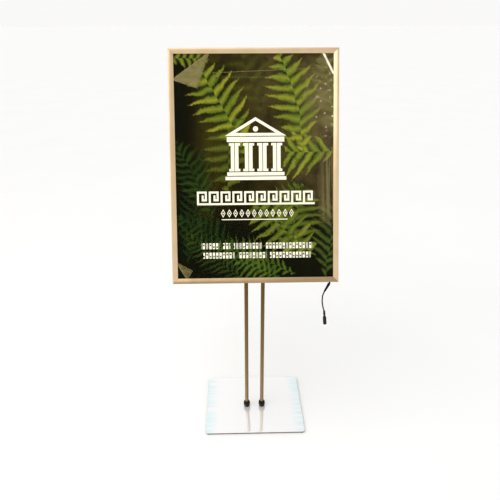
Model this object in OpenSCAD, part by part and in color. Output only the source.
// Poster light box on a tilting twin-pole floor stand.
// Millimetres, +Z up, front towards -Y, origin at the middle of the underside of the base.
//
// The light box is drawn upright around its tilt axis and then leaned back as one, by in_box().
// Its own depth, d, is measured from its back face towards the viewer, and w is measured
// inwards from its outer edge.

/* [Base] */
// Width of the base plate
base_w = 425; // [360:5:520]
// Depth of the base plate
base_d = 365; // [300:5:460]
// Thickness of the steel base plate
base_t = 6; // [5:0.5:12]
// Corner radius of the base plate
base_r = 10; // [4:1:40]
// Thickness of the rubber mat under the plate
mat_t = 2; // [1:0.5:5]

/* [Poles] */
// Outside diameter of each pole
pole_od = 16; // [14:1:20]
// Wall of each pole
pole_wall = 1.5; // [1:0.1:2]
// Distance between the two poles' centres
pole_gap = 68; // [60:2:90]
// How far the poles stand in front of the middle of the base
pole_forward = 14; // [0:1:40]
// Widest diameter of the collar at a pole's foot
collar_d = 30; // [26:1:38]
// Height of the collar
collar_h = 28; // [22:1:44]

/* [Tilt head] */
// Height of the tilt axis above the floor
pivot_z = 965; // [800:5:1100]
// Lean of the light box from upright
lean = 20; // [0:1:40]
// Diameter of the tilt bolt
pivot_d = 8; // [8:1:10]
// Distance from the tilt axis to the back of the light box
box_gap = 34; // [32:1:45]

/* [Light box] */
// Width of the poster sheet
sheet_w = 600; // [420:1:700]
// Height of the poster sheet
sheet_h = 835; // [700:1:1000]
// Width of the rails' visible face
rail_face = 20; // [20:1:24]
// How much of the sheet the rails cover on each side
rail_cover = 10; // [8:1:10]
// Height of the box's middle above the tilt axis
box_rise = 150; // [0:5:200]
// Where the power lead leaves the bottom edge, from the right-hand edge
lead_inset = 31; // [31:1:80]

/* [Hidden] */
$fn = 48;

// Running clearance, on the radius, of everything that turns on something else
run = 0.05;

// Outer size of the light box, which follows from the sheet
box_w = sheet_w + 2 * (rail_face - rail_cover);
box_h = sheet_h + 2 * (rail_face - rail_cover);

// Heights on the stand
plate_z = mat_t;
plate_top = plate_z + base_t;
head_top = pivot_z - 20;
head_h = 30;
socket_depth = 24;
pole_top = head_top - head_h + socket_depth;

// Tilt head
ear_in = 20;
ear_t = 8;
ear_r = 12;
head_d = 28;
head_w = pole_gap + pole_od + 12;
barrel_r = 11;
barrel_half = ear_in - 1.1;
knob_r = 15;
lobe_r = 4.5;
knob_x = ear_in + ear_t + 2;
knob_h = 20;
insert_r = 6;
insert_h = 14;
friction_od = 20;
knob_washer_od = 17;
plate_w = 110;
plate_h = 170;
bracket_t = 3;

// Screws that hold the bracket, with their holes and hex sockets
screw_x = 42;
screw_z = 70;
screw_d = 5;
screw_hole_d = 5.5;
screw_head_d = 9.5;
screw_head_h = 2.6;
screw_hex_d = 3;

// Pole fastening
bolt_d = 8;
bolt_head_d = 16;
bolt_head_h = 4;
bolt_len = 36;
bolt_play = 0.4;
plug_h = 40;
grub_d = 6;

// Depths of the layers of the box, each from its back face
flange_t = 1.5;
panel_t = 1.5;
panel_play = 0.4;
foam_d = flange_t + panel_t;
foam_t = 5.2;
foam_w = 24;
foam_x = [-270, -140, 140, 270];
reflector_d = foam_d + foam_t;
reflector_t = 0.4;
guide_d = reflector_d + reflector_t;
guide_t = 6;
diffuser_d = guide_d + guide_t;
diffuser_t = 2;
poster_d = diffuser_d + diffuser_t;
poster_t = 0.4;
film_d = poster_d + poster_t;
film_t = 0.5;
box_t = 22;
backing_t = 3;

// Section of the frame profile and its hinge bead
wall = 1.6;
shoulder_d = 10.2;
shelf_t = 1.5;
inner_w = 8.2;
inner_t = 1.4;
hinge_w = 3.5;
hinge_d = 14;
bead_r = 2;
neck_t = 1;
curl_r = 3.3;
curl_trim = 8;
mitre_gap = 0.2;
key_leg = 24;
key_play = 0.15;

// Light strips and wiring
strip_len = 800;
strip_t = 1.2;
led_pitch = 16;
led = [1, 4, 3];
wire_d = 2.4;
wire_w = 11.8;
wire_depth = 5.2;

// Power lead: a ball-ended boot that swings on its exit, the cord, and the socket on its end
cord_d = 5;
boot_ball = 4;
boot_tip_d = 6.4;
grommet_t = 1.2;
grommet_flange_d = 9.6;
grommet_neck_d = 7;
grommet_hole_d = 7.2;
lead_x = box_w / 2 - lead_inset;
lead_w = -(grommet_t + boot_ball + 0.3);
lead_exit = box_point(lead_x, lead_w, wire_depth);
// Points of the hanging cord, from the boot's tip to the socket
cord_route = [[267, -152, 691], [263, -153, 684], [260, -154, 677], [257, -155, 670],
              [255, -155, 663], [254, -156, 655], [254, -156, 647], [254, -156, 639],
              [255, -156, 631], [256, -156, 623], [258, -156, 615], [260, -156, 607],
              [262, -156, 600], [264, -156, 593], [265, -156, 586], [266, -156, 579]];
cord_sides = 10;
socket_d = 12.5;
socket_len = 44;
socket_lean = 6;
socket_bore = 5.6;
socket_depth_in = 9.5;

// Corners of the film that have come out from under the rails and lie folded over on it:
// [side, end, fold along the horizontal edge, fold along the upright edge],
// measured from the corner of the opening
folds = [[-1, 1, 120, 85], [1, 1, 33, 65], [-1, -1, 30, 50]];

// ---------- placing ----------

// World place of a point of the leaned box, w inwards from the bottom edge and d deep
function box_point(x, w, d) =
    let (y = -(box_gap + d), z = box_rise - box_h / 2 + w)
    [x, y * cos(lean) + z * sin(lean) - pole_forward, pivot_z - y * sin(lean) + z * cos(lean)];

// Everything that leans with the light box
module in_box() {
    translate([0, -pole_forward, pivot_z]) rotate([-lean, 0, 0]) children();
}

// A flat layer of the box, centred on its middle
module layer(width, height, depth, thickness) {
    translate([-width / 2, -(box_gap + depth + thickness), box_rise - height / 2])
        cube([width, thickness, height]);
}

// A solid drawn along the bottom edge, moved to one of the four sides
module on_side(angle) {
    half = (angle % 180 == 0) ? box_h / 2 : box_w / 2;
    translate([0, -box_gap, box_rise]) rotate([0, angle, 0]) translate([0, 0, -half]) children();
}

// A section of w and d, drawn out along an edge
module along_edge(length) {
    rotate([180, -90, 0]) linear_extrude(length, center = true) children();
}

// The same, with both ends cut at 45 degrees to meet the neighbouring sides
module mitred(length, gap) {
    reach = 30;
    back = 20;
    intersection() {
        along_edge(length) children();
        rotate([90, 0, 0]) linear_extrude(3 * reach, center = true)
            polygon([[-length / 2 + gap - back, -back], [length / 2 - gap + back, -back],
                     [length / 2 - gap - reach, reach], [-length / 2 + gap + reach, reach]]);
    }
}

// A rod from one point to another
module rod(from, to, d1, d2) {
    v = to - from;
    translate(from) rotate([0, acos(v[2] / norm(v)), atan2(v[1], v[0])])
        cylinder(h = norm(v), d1 = d1, d2 = d2);
}

// Points of an arc
function arc(centre, r, from, to, steps) =
    [for (i = [0 : steps]) let (a = from + (to - from) * i / steps)
        centre + r * [cos(a), sin(a)]];

// ---------- base ----------

module rounded_plate(w, d, r, t) {
    linear_extrude(t) union() {
        square([w - 2 * r, d], center = true);
        square([w, d - 2 * r], center = true);
        for (x = [-1, 1], y = [-1, 1])
            translate([x * (w / 2 - r), y * (d / 2 - r)]) circle(r);
    }
}

module base_mat() {
    inset = 2;
    color("dimgray") rounded_plate(base_w - 2 * inset, base_d - 2 * inset, base_r - inset, mat_t);
}

module at_poles() {
    for (side = [-1, 1]) translate([side * pole_gap / 2, -pole_forward, 0]) children();
}

module base_plate() {
    color("gainsboro") difference() {
        translate([0, 0, plate_z]) rounded_plate(base_w, base_d, base_r, base_t);
        at_poles() {
            translate([0, 0, plate_z - 0.1]) cylinder(h = base_t + 1, d = bolt_d + bolt_play);
            translate([0, 0, plate_z - 0.2])
                cylinder(h = bolt_head_h + 0.3, d1 = bolt_head_d + 2 * bolt_play,
                         d2 = bolt_d + bolt_play);
        }
    }
}

module pole_bolts() {
    color("silver") at_poles() translate([0, 0, plate_z]) {
        cylinder(h = bolt_head_h, d1 = bolt_head_d, d2 = bolt_d);
        cylinder(h = bolt_len, d = bolt_d);
    }
}

module pole_foot_plugs() {
    color("darkgray") at_poles() translate([0, 0, plate_top]) difference() {
        cylinder(h = plug_h, d = pole_od - 2 * pole_wall - 0.1);
        translate([0, 0, -1]) cylinder(h = plug_h + 2, d = bolt_d + 2 * run);
    }
}

// A turned collar: narrow at the plate, swelling to a rim that is dished round the pole
module collar(side) {
    foot_r = collar_d * 0.38;
    rim_r = collar_d / 2;
    rim_round = 3;
    swell_h = collar_h * 0.72;
    rim_h = collar_h * 0.8;
    dish = [pole_od / 2 + 2, collar_h * 0.86];
    swell = [for (i = [0 : 12]) let (t = i / 12)
        [foot_r + (rim_r - foot_r) * sin(90 * t), swell_h * t]];
    color("darkslategray") translate([side * pole_gap / 2, -pole_forward, plate_top]) rotate_extrude()
        polygon(concat([[pole_od / 2 + run, 0]], swell,
                       arc([rim_r - rim_round, rim_h], rim_round, 0, 90, 6),
                       [dish, [pole_od / 2 + run, collar_h]]));
}

module left_collar() { collar(-1); }
module right_collar() { collar(1); }

module pole(side) {
    color("tan") translate([side * pole_gap / 2, -pole_forward, plate_top]) difference() {
        cylinder(h = pole_top - plate_top, d = pole_od);
        translate([0, 0, -1]) cylinder(h = pole_top, d = pole_od - 2 * pole_wall);
    }
}

module left_pole() { pole(-1); }
module right_pole() { pole(1); }

// ---------- tilt head ----------

module on_pivot(x) {
    translate([x, -pole_forward, pivot_z]) rotate([0, 90, 0]) children();
}

module grub_holes(d) {
    at_poles() translate([0, pole_od / 2, head_top - head_h / 2]) rotate([-90, 0, 0])
        cylinder(h = head_d / 2 - pole_od / 2 + 0.01, d = d);
}

module pole_head() {
    color("dimgray") difference() {
        union() {
            translate([-head_w / 2, -pole_forward - head_d / 2, head_top - head_h])
                cube([head_w, head_d, head_h]);
            for (side = [-1, 1]) {
                ear_x = (side > 0) ? ear_in : -ear_in - ear_t;
                on_pivot(ear_x) cylinder(h = ear_t, r = ear_r);
                translate([ear_x, -pole_forward - ear_r, head_top - 1])
                    cube([ear_t, 2 * ear_r, pivot_z - head_top + 1]);
            }
        }
        at_poles() translate([0, 0, head_top - head_h - 1])
            cylinder(h = socket_depth + 1, d = pole_od + 2 * run);
        grub_holes(grub_d);
        on_pivot(-ear_in - ear_t - 1) cylinder(h = 2 * (ear_in + ear_t + 1), d = pivot_d + 2 * run);
    }
}

module head_grub_screws() {
    socket_af = 3;
    color("black") difference() {
        grub_holes(grub_d);
        at_poles() translate([0, head_d / 2 - 2, head_top - head_h / 2]) rotate([-90, 0, 0])
            cylinder(h = 3, d = socket_af / cos(30), $fn = 6);
    }
}

module pivot_bolt() {
    hex_af = 13;
    hex_h = 5.3;
    color("silver") {
        on_pivot(-ear_in - ear_t - hex_h) cylinder(h = hex_h, d = hex_af / cos(30), $fn = 6);
        on_pivot(-ear_in - ear_t) cylinder(h = ear_in + ear_t + knob_x + insert_h, d = pivot_d);
    }
}

module washer(x, t, od) {
    on_pivot(x) difference() {
        cylinder(h = t, d = od);
        translate([0, 0, -1]) cylinder(h = t + 2, d = pivot_d + bolt_play);
    }
}

module friction_washers() {
    t = ear_in - barrel_half - 2 * run;
    color("saddlebrown") for (x = [-ear_in, barrel_half + 2 * run]) washer(x, t, friction_od);
}

module knob_washer() {
    color("silver") washer(ear_in + ear_t, knob_x - ear_in - ear_t - 0.3, knob_washer_od);
}

module tilt_knob() {
    core_r = knob_r - 1;
    lobe_x = knob_r - lobe_r + 2;
    color("black") on_pivot(knob_x) difference() {
        linear_extrude(knob_h) {
            circle(core_r);
            for (a = [0 : 60 : 300]) rotate(a) translate([lobe_x, 0]) circle(lobe_r);
        }
        translate([0, 0, -1]) cylinder(h = insert_h + 1, r = insert_r);
    }
}

module knob_insert() {
    color("gold") on_pivot(knob_x) difference() {
        cylinder(h = insert_h, r = insert_r);
        translate([0, 0, -1]) cylinder(h = insert_h + 2, d = pivot_d + 2 * run);
    }
}

module bracket_screw_places() {
    for (x = [-1, 1], z = [-1, 1]) translate([x * screw_x, 0, z * screw_z]) children();
}

// A cylinder that runs through the back of the box, from one depth to another
module through_back(from, to, d) {
    translate([0, -(box_gap + from), 0]) rotate([90, 0, 0]) cylinder(h = to - from, d = d);
}

module tilt_bracket() {
    plate_d = flange_t - bracket_t;
    web_y = -(box_gap + plate_d);
    web_half = 22;
    waist_y = -4;
    waist_half = 10;
    color("dimgray") in_box() difference() {
        union() {
            translate([-plate_w / 2, web_y - bracket_t, -plate_h / 2])
                cube([plate_w, bracket_t, plate_h]);
            rotate([0, 90, 0]) translate([0, 0, -barrel_half])
                cylinder(h = 2 * barrel_half, r = barrel_r);
            rotate([90, 0, 90]) translate([0, 0, -barrel_half])
                linear_extrude(2 * barrel_half)
                    polygon([[web_y - 1, -web_half], [web_y - 1, web_half], [waist_y, waist_half],
                             [0, 0], [waist_y, -waist_half]]);
        }
        rotate([0, 90, 0]) translate([0, 0, -plate_w])
            cylinder(h = 2 * plate_w, d = pivot_d + 2 * run);
        bracket_screw_places() through_back(plate_d - 1, flange_t + 1, screw_hole_d);
    }
}

module bracket_screws() {
    seat_d = flange_t - bracket_t;
    crown_d = seat_d - screw_head_h;
    color("silver") in_box() bracket_screw_places() difference() {
        union() {
            through_back(crown_d, seat_d, screw_head_d);
            through_back(seat_d, foam_d + backing_t, screw_d);
        }
        translate([0, 0.01, 0]) through_back(crown_d, seat_d - 1, screw_hex_d);
    }
}

module bracket_backing() {
    color("lightgray") in_box() difference() {
        translate([-plate_w / 2, -(box_gap + foam_d + backing_t), -plate_h / 2])
            cube([plate_w, backing_t, plate_h]);
        bracket_screw_places() through_back(foam_d - 1, foam_d + backing_t + 1, screw_d);
    }
}

// ---------- light box: shell ----------

module back_panel() {
    edge_room = inner_w + inner_t + panel_play;
    color("lightgray") in_box() difference() {
        layer(box_w - 2 * edge_room, box_h - 2 * edge_room, flange_t, panel_t);
        bracket_screw_places() through_back(flange_t - 1, flange_t + panel_t + 1, screw_hole_d);
    }
}

// Hollow extrusion: outer wall, shoulder, tall inner wall, back flange and hinge bead
module frame_section() {
    inner_top = film_d - 0.2;
    union() {
        difference() {
            square([inner_w + inner_t, shoulder_d]);
            translate([wall, flange_t])
                square([inner_w - wall, shoulder_d - flange_t - shelf_t]);
        }
        translate([inner_w, 0]) square([inner_t, inner_top]);
        square([rail_face, flange_t]);
        translate([hinge_w - neck_t / 2, shoulder_d - 0.5])
            square([neck_t, hinge_d - shoulder_d]);
        translate([hinge_w, hinge_d]) circle(bead_r);
    }
}

module frame_side(angle, length) {
    in_box() on_side(angle) mitred(length, 0) frame_section();
}

module frame_bottom() {
    color("wheat") difference() {
        frame_side(0, box_w);
        in_box() translate([lead_x, -(box_gap + wire_depth), box_rise - box_h / 2]) {
            translate([0, 0, -1]) cylinder(h = wall + 2, d = grommet_hole_d);
            translate([0, 0, wall]) cylinder(h = 10, d = wire_d + 1);
        }
    }
}
module frame_right() { color("wheat") frame_side(-90, box_h); }
module frame_top() { color("wheat") frame_side(180, box_w); }
module frame_left() { color("wheat") frame_side(90, box_h); }

// One L-shaped key in the hollow of each corner
module corner_keys() {
    leg_w = inner_w - wall - 2 * key_play;
    leg_d = shoulder_d - flange_t - shelf_t - 2 * key_play;
    start = wall + key_play;
    color("darkgray") in_box() translate([0, -box_gap - flange_t - key_play - leg_d, box_rise])
        for (sx = [0, 1], sz = [0, 1]) mirror([sx, 0, 0]) mirror([0, 0, sz])
            translate([-box_w / 2 + start, 0, -box_h / 2 + start]) {
                cube([key_leg, leg_d, leg_w]);
                cube([leg_w, leg_d, key_leg]);
            }
}

// ---------- light box: the stack ----------

// Upright strips of foam that push the light guide towards the front
module foam_pads() {
    inset = 14;
    color("whitesmoke") in_box() for (x = foam_x)
        translate([x, 0, 0]) layer(foam_w, box_h - 2 * inset, foam_d, foam_t);
}

module reflector_sheet() {
    color("white") in_box() layer(sheet_w, sheet_h, reflector_d, reflector_t);
}

module light_guide() {
    side_room = inner_w + inner_t + strip_t + led[0] + panel_play;
    color("lightcyan") in_box()
        layer(box_w - 2 * side_room, box_h - 2 * (side_room + 1), guide_d, guide_t);
}

module led_strip(side) {
    x = box_w / 2 - inner_w - inner_t;
    count = floor(strip_len / led_pitch);
    color("khaki") in_box() mirror([side > 0 ? 0 : 1, 0, 0]) {
        translate([x - strip_t, -(box_gap + guide_d + guide_t), box_rise - strip_len / 2])
            cube([strip_t, guide_t, strip_len]);
        for (i = [0 : count - 1])
            translate([x - strip_t - led[0], -(box_gap + guide_d + guide_t / 2 + led[2] / 2),
                       box_rise - strip_len / 2 + (i + 0.5) * led_pitch - led[1] / 2])
                cube([led[0] + 0.1, led[2], led[1]]);
    }
}

module left_led_strip() { led_strip(-1); }
module right_led_strip() { led_strip(1); }

// The wire along the bottom, up to both strips and out to the power lead
module led_wires() {
    y = -(box_gap + wire_depth);
    low = box_rise - box_h / 2 + wire_w;
    high = box_rise - strip_len / 2 + 4;
    strip_x = box_w / 2 - inner_w - inner_t - strip_t / 2 - 0.8;
    color("red") in_box() {
        rod([-strip_x, y, low], [strip_x, y, low], wire_d, wire_d);
        rod([lead_x, y, low], [lead_x, y, box_rise - box_h / 2 + wall + 1], wire_d, wire_d);
        for (side = [-1, 1]) {
            rod([side * strip_x, y, low], [side * strip_x, y, high], wire_d, wire_d);
            translate([side * strip_x, y, high]) rotate([90, 0, 0])
                cylinder(h = reflector_d - wire_depth, d = wire_d);
        }
    }
}

module diffuser() {
    color("white") in_box() layer(sheet_w, sheet_h, diffuser_d, diffuser_t);
}

module poster() {
    color("darkgreen") in_box() layer(sheet_w, sheet_h, poster_d, poster_t);
}

// The clear film, with its loose corners folded in and lying on it
module cover_film() {
    open_w = box_w / 2 - rail_face;
    open_h = box_h / 2 - rail_face;
    lap = rail_cover + 2;
    color("azure", 0.4) in_box() translate([0, -(box_gap + film_d), box_rise]) rotate([90, 0, 0]) {
        linear_extrude(film_t) difference() {
            square([sheet_w, sheet_h], center = true);
            for (f = folds) {
                rise = lap * f[3] / f[2];
                run_x = lap * f[2] / f[3];
                polygon([[f[0] * (open_w + lap), f[1] * (open_h + lap)],
                         [f[0] * (open_w - f[2] - run_x), f[1] * (open_h + lap)],
                         [f[0] * (open_w + lap), f[1] * (open_h - f[3] - rise)]]);
            }
        }
        translate([0, 0, film_t]) linear_extrude(film_t) for (f = folds) {
            n = [f[3], f[2]] / norm([f[3], f[2]]);
            reach = f[2] * n[0] + rail_cover * (n[0] + n[1]);
            tip = [-rail_cover, -rail_cover] + 2 * reach * n;
            polygon([for (p = [[f[2], 1], tip, [1, f[3]]])
                [f[0] * (open_w - p[0]), f[1] * (open_h - p[1])]]);
        }
    }
}

// ---------- light box: snap rails ----------

// Face of a rail: skirt and rounded outer edge, flat outer band, sloping inner band, lip
module rail_face_section() {
    skin = 1.6;
    band = rail_face * 0.55;
    lip_top = box_t - 2.6;
    lip_low = film_d + film_t + 0.1;
    skirt = hinge_d + hinge_w + 0.3;
    edge_r = 2.5;
    polygon(concat([[skin, skirt], [0, skirt]],
                   arc([edge_r, box_t - edge_r], edge_r, 180, 90, 8),
                   [[band, box_t], [rail_face, lip_top], [rail_face, lip_low],
                    [rail_face - 1.4, lip_low], [rail_face - 1.4, lip_top - 1.2],
                    [band - 0.3, box_t - skin], [skin + 1, box_t - skin], [skin, box_t - skin - 1]]));
}

// Curl of a rail, which wraps the bead of the frame, and the web that carries the face
module rail_curl_section() {
    centre = [hinge_w, hinge_d];
    inner_r = bead_r + 2 * run;
    gap_from = 160;
    gap_to = 290;
    web = [0.8, 1.8];
    difference() {
        union() {
            translate(centre) circle(curl_r);
            translate([hinge_w - web[0], hinge_d + inner_r])
                square([web[1], box_t - 1 - hinge_d - inner_r]);
        }
        translate(centre) circle(inner_r);
        polygon(concat([centre], arc(centre, 2 * curl_r, gap_from, gap_to, 6)));
    }
}

module rail(angle, length) {
    color("blanchedalmond") in_box() on_side(angle) {
        mitred(length, mitre_gap) rail_face_section();
        along_edge(length - 2 * (curl_trim + hinge_w + curl_r)) rail_curl_section();
    }
}

module rail_bottom() { rail(0, box_w); }
module rail_right() { rail(-90, box_h); }
module rail_top() { rail(180, box_w); }
module rail_left() { rail(90, box_h); }

// Leaf springs that stand on the frame's shoulder and press on the rails
module snap_springs() {
    leaf = 0.5;
    leaf_h = 6.4;
    leaf_foot = 1.1;
    leaf_len = 30;
    stand = hinge_w + curl_r + 0.3;
    module leaf_spring() {
        along_edge(leaf_len) union() {
            translate([stand, shoulder_d]) square([leaf, leaf_h]);
            translate([stand - 0.001, shoulder_d + 6]) square([leaf_foot, leaf]);
        }
    }
    color("silver") in_box() for (angle = [0, 180]) on_side(angle)
        for (x = [-1, 1]) translate([x * box_w / 4, 0, 0]) leaf_spring();
    color("silver") in_box() for (angle = [90, -90]) on_side(angle)
        for (x = [-1, 0, 1]) translate([x * box_h * 0.3, 0, 0]) leaf_spring();
}

// ---------- power lead ----------

module lead_grommet() {
    color("black") in_box() translate([lead_x, -(box_gap + wire_depth), box_rise - box_h / 2])
        difference() {
            union() {
                translate([0, 0, -grommet_t]) cylinder(h = grommet_t, d = grommet_flange_d);
                translate([0, 0, -0.01]) cylinder(h = wall, d = grommet_neck_d);
            }
            translate([0, 0, -grommet_t - 1]) cylinder(h = wall + grommet_t + 2, d = wire_d + 0.6);
        }
}

module lead_boot() {
    color("black") {
        translate(lead_exit) sphere(boot_ball);
        rod(lead_exit, cord_route[0], 2 * boot_ball - 0.6, boot_tip_d);
    }
}

// Direction of the cord at each point of its route, and a ring of points square to it
function heading(i) =
    let (a = cord_route[max(i - 1, 0)], b = cord_route[min(i + 1, len(cord_route) - 1)])
    (b - a) / norm(b - a);
function ring(i) =
    let (t = heading(i), u = cross(t, [0, 1, 0]) / norm(cross(t, [0, 1, 0])), v = cross(t, u))
    [for (k = [0 : cord_sides - 1]) let (a = 360 * k / cord_sides)
        cord_route[i] + cord_d / 2 * (cos(a) * u + sin(a) * v)];

module dc_lead() {
    last = len(cord_route) - 1;
    n = cord_sides;
    points = [for (i = [0 : last]) each ring(i)];
    sides = [for (i = [0 : last - 1], k = [0 : n - 1])
        [i * n + k, i * n + (k + 1) % n, (i + 1) * n + (k + 1) % n, (i + 1) * n + k]];
    ends = [[for (k = [0 : n - 1]) n - 1 - k], [for (k = [0 : n - 1]) last * n + k]];
    color("black") polyhedron(points, concat(sides, ends));
}

module at_socket() {
    translate(cord_route[len(cord_route) - 1]) rotate([0, -socket_lean, 0])
        translate([0, 0, -socket_len]) children();
}

module dc_socket_body() {
    neck_r = cord_d / 2 + 0.8;
    color("black") at_socket() difference() {
        rotate_extrude() polygon(concat(
            [[0, 0], [socket_d / 2 - 1, 0], [socket_d / 2, 1], [socket_d / 2, socket_len * 0.6]],
            [for (i = [1 : 8]) let (t = i / 8)
                [neck_r + (socket_d / 2 - neck_r) * (1 + cos(180 * t)) / 2,
                 socket_len * (0.6 + 0.4 * t)]],
            [[0, socket_len]]));
        translate([0, 0, -1]) cylinder(h = socket_depth_in + 1, d = socket_bore);
    }
}

module dc_socket_contact() {
    color("silver") at_socket() translate([0, 0, 1]) cylinder(h = socket_depth_in - 1, d = 2);
}

base_mat();
base_plate();
pole_bolts();
pole_foot_plugs();
left_collar();
right_collar();
left_pole();
right_pole();
pole_head();
head_grub_screws();
pivot_bolt();
friction_washers();
knob_washer();
tilt_knob();
knob_insert();
tilt_bracket();
bracket_screws();
bracket_backing();
back_panel();
frame_bottom();
frame_right();
frame_top();
frame_left();
corner_keys();
foam_pads();
reflector_sheet();
light_guide();
left_led_strip();
right_led_strip();
led_wires();
diffuser();
poster();
cover_film();
rail_bottom();
rail_right();
rail_top();
rail_left();
snap_springs();
lead_grommet();
lead_boot();
dc_lead();
dc_socket_body();
dc_socket_contact();
